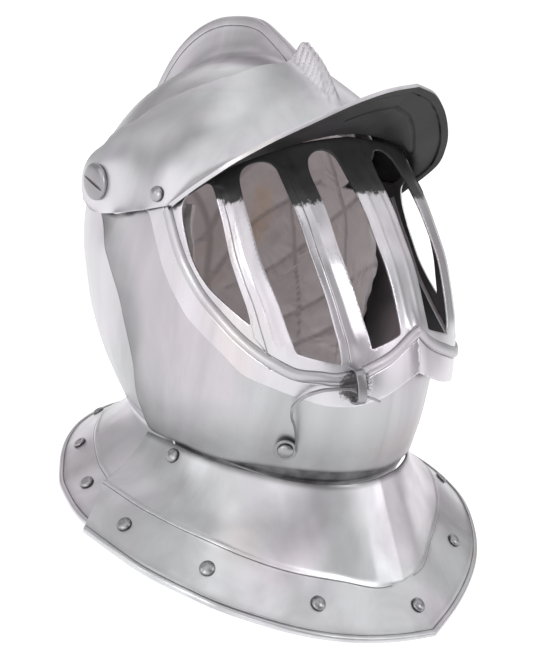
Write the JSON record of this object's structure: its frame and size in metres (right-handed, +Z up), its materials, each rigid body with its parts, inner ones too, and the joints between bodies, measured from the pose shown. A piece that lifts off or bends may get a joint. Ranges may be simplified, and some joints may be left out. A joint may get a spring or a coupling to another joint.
{
  "type": "burgonet helmet",
  "caption": "Closed steel burgonet with combed skull, peaked fall, barred visor with hook latch, bevor, quilted lining and wide riveted gorget collar.",
  "frame": {"origin": "middle of the footprint, on the floor that the collar rim rests on", "axes": "+Z up, -Y towards the face, +X towards the wearer's left; the helmet lies back 24.4 degrees on its collar"},
  "size_m": [0.2672, 0.3335, 0.2957],
  "materials": {
    "plate_steel": "satin, brushed",
    "rivet_steel": "polished heads",
    "liner_fabric": "quilted taupe cotton"
  },
  "bodies": {
    "skull": {"skull": "plate_steel", "collar_rear": "plate_steel", "liner": "liner_fabric", "pivot_screw_left": "rivet_steel", "pivot_screw_right": "rivet_steel", "rear_rivet_1_left": "rivet_steel", "rear_rivet_2_left": "rivet_steel", "rear_rivet_3_left": "rivet_steel", "rear_rivet_1_right": "rivet_steel", "rear_rivet_2_right": "rivet_steel", "rear_rivet_3_right": "rivet_steel"},
    "bevor": {"bevor": "plate_steel", "neck_lame": "plate_steel", "collar_front": "plate_steel", "hook_rivet": "rivet_steel", "neck_stud_left": "rivet_steel", "neck_stud_right": "rivet_steel", "front_rivet_centre": "rivet_steel", "front_rivet_1_left": "rivet_steel", "front_rivet_2_left": "rivet_steel", "front_rivet_3_left": "rivet_steel", "front_rivet_1_right": "rivet_steel", "front_rivet_2_right": "rivet_steel", "front_rivet_3_right": "rivet_steel"},
    "visor": {"visor": "plate_steel"},
    "fall": {"fall": "plate_steel", "brow_rivet_left": "rivet_steel", "brow_rivet_right": "rivet_steel"},
    "hook": {"hook": "plate_steel"}
  },
  "joints": [
    {"name": "bevor_hinge", "type": "hinge", "parent": "skull", "child": "bevor", "pos_m": [0, 0.08395, 0.1914], "axis": [-1, 0, 0], "range_deg": [0, 30]},
    {"name": "visor_hinge", "type": "hinge", "parent": "bevor", "child": "visor", "pos_m": [0, 0.08395, 0.1914], "axis": [-1, 0, 0], "range_deg": [0, 30]},
    {"name": "fall_hinge", "type": "hinge", "parent": "visor", "child": "fall", "pos_m": [0, 0.08395, 0.1914], "axis": [-1, 0, 0], "range_deg": [0, 30]},
    {"name": "hook_swing", "type": "hinge", "parent": "bevor", "child": "hook", "pos_m": [-0.05831, -0.07392, 0.08858], "axis": [-0.6684, -0.7352, -0.1123], "range_deg": [0, 70]}
  ]
}
